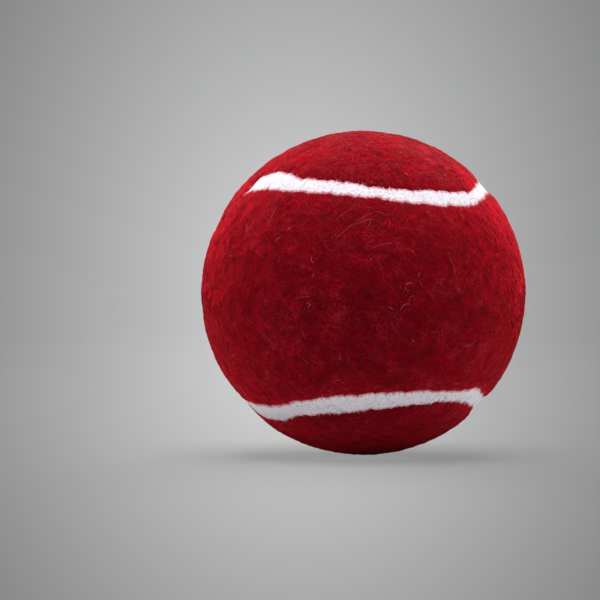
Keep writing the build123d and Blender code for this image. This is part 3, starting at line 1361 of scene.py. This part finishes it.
@dataclass
class Seam:
    """The white seam: a closed ring of cement in the gap between the panels."""

    path: SeamPath
    noise: LatticeNoise
    lay: FibreLay
    fringe: FringeDraw = FringeDraw()
    stations: int = 1280
    cross_steps: int = 14
    overlap: float = 0.4
    bleed_mm: float = 1.2
    bleed_least: float = -0.3
    lumps: tuple[Pair, Pair] = ((0.05, 1.4), (0.03, 0.6))
    sunk_place: float = 3.72
    sunk_reach: float = 0.1
    sunk_depth: float = 0.9
    top_area: Area = (0.01, 0.2, 0.99, 0.99)
    floor_area: Area = (0.01, 0.01, 0.99, 0.08)
    wall_areas: tuple[Area, Area] = ((0.01, 0.1, 0.99, 0.13), (0.01, 0.15, 0.99, 0.18))

    def top_radius(self, along: Array, share: Array, units: Array) -> Array:
        """Radius of the seam's top: a flat bead that falls at both edges, with fine lumps.

        The fall goes with the sixth power of the distance from the middle. Lumps are noises,
        each with a height and a size. The seam sinks where the panels nearly close over it.

        Args:
            along: place along the seam in arcs.
            share: place across the seam, from 0 at the front edge to 1 at the rear edge.
            units: the unit vectors of the points.

        Returns:
            Radii in millimetres.
        """
        sizes = self.path.sizes
        places = units * sizes.radius
        uneven = sum(height * self.noise.at(places, size) for height, size in self.lumps)
        fall = sizes.seam_fall * (2 * share - 1) ** 6
        return sizes.seam_top + uneven - fall - self.sink(along)

    def sink(self, along: Array) -> Array:
        """How far the seam is sunk, in millimetres: a bell curve along it at one place."""
        away = (np.mod(along, ARCS) - self.sunk_place) / self.sunk_reach
        return self.sunk_depth * np.exp(-(away**2))

    def ring(self) -> bpy.types.Object:
        """Builds the closed ring: a top with a fine relief, two walls and a floor.

        The section runs from the front panel's edge to the rear panel's edge and back below.

        Returns:
            The seam's object.
        """
        sizes = self.path.sizes
        along = np.linspace(0, ARCS, self.stations + 1)
        overlap = self.overlap / sizes.radius
        front = -self.path.edge(along, Side.FRONT) - overlap
        rear = np.maximum(self.path.edge(along, Side.REAR) + overlap, front + 2 * overlap)
        share = np.linspace(0, 1, self.cross_steps + 1)
        offset = front[:, None] + (rear - front)[:, None] * share
        place = np.broadcast_to(along[:, None], offset.shape)
        units = self.path.point(place, offset)
        top = units * self.top_radius(place, share, units)[..., None]
        floor = units * sizes.cloth_base
        width = (rear - front)[:, None] * sizes.radius
        inside = np.minimum(share, 1 - share) * width - self.overlap
        rim = np.clip(inside / self.bleed_mm, self.bleed_least, 1) / 2
        mesh = SurfaceMesh("white_seam")
        mesh.add_grid(top, top, self.top_area, {"rim": rim})
        mesh.add_grid(floor, -floor, self.floor_area, {"rim": np.ones(rim.shape)})
        for edge, area in zip((0, self.cross_steps), self.wall_areas):
            wall = np.stack([top[:, edge], floor[:, edge]], axis=1)
            outward = top[:, edge] - top[:, self.cross_steps - edge]
            facing = np.repeat(outward[:, None], 2, axis=1)
            mesh.add_grid(wall, facing, area, {"rim": np.zeros(wall.shape[:2])})
        return mesh.build(weld=True)

    def fibre_piece(self) -> bpy.types.Object:
        """Builds the short fibres that lie across the seam's edges, half in the cement.

        Each runs straight from a place on the seam to one on the nap's roll, a little askew,
        and lies on whichever of the two surfaces is higher.

        Returns:
            The piece of fibres.
        """
        sizes, draw = self.path.sizes, self.fringe
        rng = np.random.default_rng(FRINGE_SEED)
        along = rng.uniform(0, ARCS, draw.count)[:, None]
        front = rng.uniform(size=draw.count)[:, None] < draw.front_share
        sign = np.where(front, Side.FRONT.sign, Side.REAR.sign)
        front_edge, rear_edge = [self.path.edge(along, side) for side in Side]
        edge = np.where(front, front_edge, rear_edge)
        start = rng.uniform(*draw.start, draw.count)[:, None]
        reach = rng.uniform(*draw.reach, draw.count)[:, None]
        askew = rng.normal(0, draw.askew, draw.count)[:, None] / self.path.arc_length
        share = np.linspace(0, 1, draw.points)
        inset = start + reach * share
        units = self.path.point(along + askew * share, sign * (edge + inset / sizes.radius))
        width = (front_edge + rear_edge) * sizes.radius
        across = np.clip(-inset / np.maximum(width, draw.narrowest), 0, 1)
        cement = self.top_radius(along, across, units)
        nap = sizes.nap_top - sizes.roll_depth(inset)
        rise = rng.uniform(*draw.lift, draw.count)[:, None]
        centres = units * (np.maximum(cement, nap) + rise)[..., None]
        rings = self.lay.tubes(centres, rng.uniform(*draw.thickness, draw.count))
        own = rng.normal(draw.shade, draw.shade_spread, draw.count)[:, None]
        shade = np.clip(own - draw.shade_per_mm * inset, 0, 1)
        shown = self.sink(along[:, 0]) < draw.bare_sink
        mesh = SurfaceMesh("seam_edge_fibres")
        mesh.add_tubes(rings[shown], {"shade": shade[shown]})
        return mesh.build(weld=False)

    def build(self) -> None:
        """Builds and dresses the seam, which stands for its solid, and its edge fibres."""
        ring = self.ring()
        place_piece(ring, WhiteSeam().build())
        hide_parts("seam_cement")
        place_piece(self.fibre_piece(), CementedFibre().build())


@dataclass
class Core:
    """The pieces under the nap, which keep their solids and get real finishes."""

    upper: GrainedRubber = GrainedRubber("moulded black rubber", "17171a", "26262a", 0.6, 0.7)
    lower: GrainedRubber = GrainedRubber("moulded grey rubber", "1c1c1f", "2c2c30", 0.6, 0.7)
    joint: GrainedRubber = GrainedRubber("rubber cement, cured", "3a2f24", "5a4a38", 0.8, 0.5)
    film: GrainedRubber = GrainedRubber("rubber solution, dried", "a08a5c", "c2ab78", 1.2, 0.45)
    front: WovenGround = WovenGround("plain woven cotton, front")
    rear: WovenGround = WovenGround("plain woven cotton, rear")

    def dress(self) -> None:
        """Puts each finish into the material slot of its solid."""
        finishes = {
            "core_half_shell_upper": self.upper,
            "core_half_shell_lower": self.lower,
            "core_joint_cement": self.joint,
            "core_adhesive_film": self.film,
            "front_panel_cloth": self.front,
            "rear_panel_cloth": self.rear,
        }
        for node, finish in finishes.items():
            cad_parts[node].material_slots[0].material = finish.build()
            log.info("%s: %s", node, finish.name)


@dataclass(frozen=True)
class Lamp:
    """A square soft lamp that looks at the ball, placed in degrees and millimetres."""

    name: str
    azimuth: float
    elevation: float
    distance: float
    side: float
    watts: float

    def hang(self) -> None:
        """Makes the light, puts it in its place and turns it to the ball."""
        data = bpy.data.lights.new(self.name, "AREA")
        data.shape = "SQUARE"
        data.size = self.side * MM
        data.energy = self.watts
        light = bpy.data.objects.new(self.name, data)
        bpy.context.scene.collection.objects.link(light)
        out = Vector(direction(self.azimuth, self.elevation))
        light.location = out * self.distance * MM
        light.rotation_euler = (-out).to_track_quat("-Z", "Y").to_euler()


LAMPS = (
    Lamp("top_softbox", azimuth=-45, elevation=86, distance=900, side=700, watts=13.2),
    Lamp("back_rim", azimuth=126, elevation=42, distance=900, side=600, watts=8.5),
    Lamp("left_back", azimuth=165, elevation=30, distance=900, side=500, watts=2.0),
    Lamp("right_side", azimuth=35, elevation=22, distance=1000, side=500, watts=0.3),
    Lamp("front_fill", azimuth=-85, elevation=6, distance=1300, side=700, watts=1.8),
)


@dataclass
class Studio:
    """Floor sweep, soft lights and the camera at the photograph's angle.

    The sweep shows the plain spot of light from the even distances outwards, and takes more of
    the shadow nearer the ball. The glow is the spot's own grey and its fall.
    """

    photo: ViewPoint
    sizes: BallSizes
    hub_radius: float = 1.0
    bowl_radius: float = 2600.0
    bowl_bend: float = 1500.0
    floor_rows: int = 40
    bend_rows: int = 30
    turns: int = 384
    even_start: float = 120.0
    even_full: float = 600.0
    even_least: float = 0.6
    glow_middle: float = 0.842
    glow_fall: float = 0.169
    glow_least: float = 0.5
    glow_across: float = 0.0411
    glow_up: float = 0.0606
    glow_gamma: float = 2.2
    air_colour: str = "e7eaed"
    air_strength: float = 0.05
    ball_pixels: Pair = (363.4, 292.9)
    radius_pixels: float = 162.2
    frame_pixels: float = 600.0
    sensor_mm: float = 36.0
    nearest_mm: float = 10.0
    farthest_mm: float = 50000.0

    def view(self) -> tuple[Vector, Vector, Vector, float]:
        """The camera's place, what it looks along, its right, and its focal length in pixels.

        The focal length gives the ball its photographed radius, and the aim its place.

        Returns:
            Place in millimetres, aim and right as unit vectors, and the focal length.
        """
        out = Vector(direction(self.photo.azimuth, self.photo.elevation))
        distance = self.photo.distance
        focal = self.radius_pixels * math.sqrt((distance / self.sizes.radius) ** 2 - 1)
        right = Vector((0, 0, 1)).cross(out).normalized()
        up = out.cross(right)
        aside = (self.ball_pixels[0] - self.frame_pixels / 2) / focal
        above = (self.frame_pixels / 2 - self.ball_pixels[1]) / focal
        aim = (-out - right * aside - up * above).normalized()
        return out * distance, aim, aim.cross(Vector((0, 0, 1))).normalized(), focal

    def glow(self, points: Array) -> Array:
        """Light of a spot on the paper, as a linear grey.

        The spot stands where the camera does. The grey falls evenly with the angle from its
        axis, measured across and up with two different widths, as an sRGB value.

        Args:
            points: places on the paper in millimetres.

        Returns:
            One grey for each place.
        """
        place, aim, right, _ = self.view()
        ray = points - np.array(place)
        ahead = np.maximum(ray @ np.array(aim), self.nearest_mm)
        across = ray @ np.array(right) / ahead / self.glow_across
        up = ray @ np.array(right.cross(aim)) / ahead / self.glow_up
        grey = self.glow_middle - self.glow_fall * np.sqrt(across**2 + up**2)
        return np.maximum(grey, self.glow_least) ** self.glow_gamma

    def sweep(self) -> None:
        """Builds the seamless floor: a disc that bends up into a round wall, turned about Z."""
        flat = self.bowl_radius - self.bowl_bend
        bend = np.linspace(0, math.pi / 2, self.bend_rows)[1:]
        inner = np.linspace(self.hub_radius, flat, self.floor_rows)
        reach = np.concatenate([inner, flat + self.bowl_bend * np.sin(bend)])[:, None]
        rise = np.concatenate([0 * inner, self.bowl_bend * (1 - np.cos(bend))])[:, None]
        turn = np.linspace(0, 2 * math.pi, self.turns + 1)
        height = np.broadcast_to(rise - self.sizes.radius, (len(reach), len(turn)))
        grid = np.stack([reach * np.cos(turn), reach * np.sin(turn), height], axis=-1)
        even = np.clip((reach - self.even_start) / (self.even_full - self.even_start), 0, 1)
        even = np.broadcast_to(self.even_least + (1 - self.even_least) * even, height.shape)
        facing = np.broadcast_to(np.array([0.0, 0.0, 1.0]), grid.shape)
        mesh = SurfaceMesh("studio_sweep")
        mesh.add_grid(grid, facing, (0, 0, 1, 1), {"even": even, "glow": self.glow(grid)})
        floor = mesh.build(weld=True)
        floor.data.materials.append(StudioPaper().build())

    def camera(self) -> None:
        """Sets the camera at the photograph's place, aim and focal length."""
        place, aim, _, focal = self.view()
        data = bpy.data.cameras.new("photo_camera")
        data.sensor_width = self.sensor_mm
        data.lens = focal * self.sensor_mm / self.frame_pixels
        data.clip_start = self.nearest_mm * MM
        data.clip_end = self.farthest_mm * MM
        camera = bpy.data.objects.new("photo_camera", data)
        bpy.context.scene.collection.objects.link(camera)
        camera.location = place * MM
        camera.rotation_euler = aim.to_track_quat("-Z", "Y").to_euler()
        bpy.context.scene.camera = camera

    def build(self) -> None:
        """Sets the stage, the lights and the camera."""
        self.sweep()
        world = bpy.data.worlds.new("studio_air")
        world.use_nodes = True
        air = world.node_tree.nodes["Background"].inputs
        air["Color"].default_value = linear(self.air_colour)
        air["Strength"].default_value = self.air_strength
        bpy.context.scene.world = world
        for lamp in LAMPS:
            lamp.hang()
        self.camera()
        bpy.context.scene.view_settings.view_transform = "Standard"


def main() -> None:
    """Builds the ball from the core outwards, then the studio."""
    logging.basicConfig(level=logging.INFO, format="%(message)s")
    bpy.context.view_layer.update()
    sizes = BallSizes()
    path = SeamPath(sizes)
    relief = FeltRelief(sizes, LatticeNoise(RELIEF_SEED))
    lay = FibreLay(sizes)
    view = ViewPoint()
    Core().dress()
    ground, fibre = FeltGround().build(), FeltFibre().build()
    for side in Side:
        NapPanel(side, path, relief, lay).build(ground, fibre)
    StrayHairs(relief, view).build(fibre)
    Seam(path, LatticeNoise(SEAM_SEED), lay).build()
    Studio(view, sizes).build()


if __name__ == "__main__":
    main()
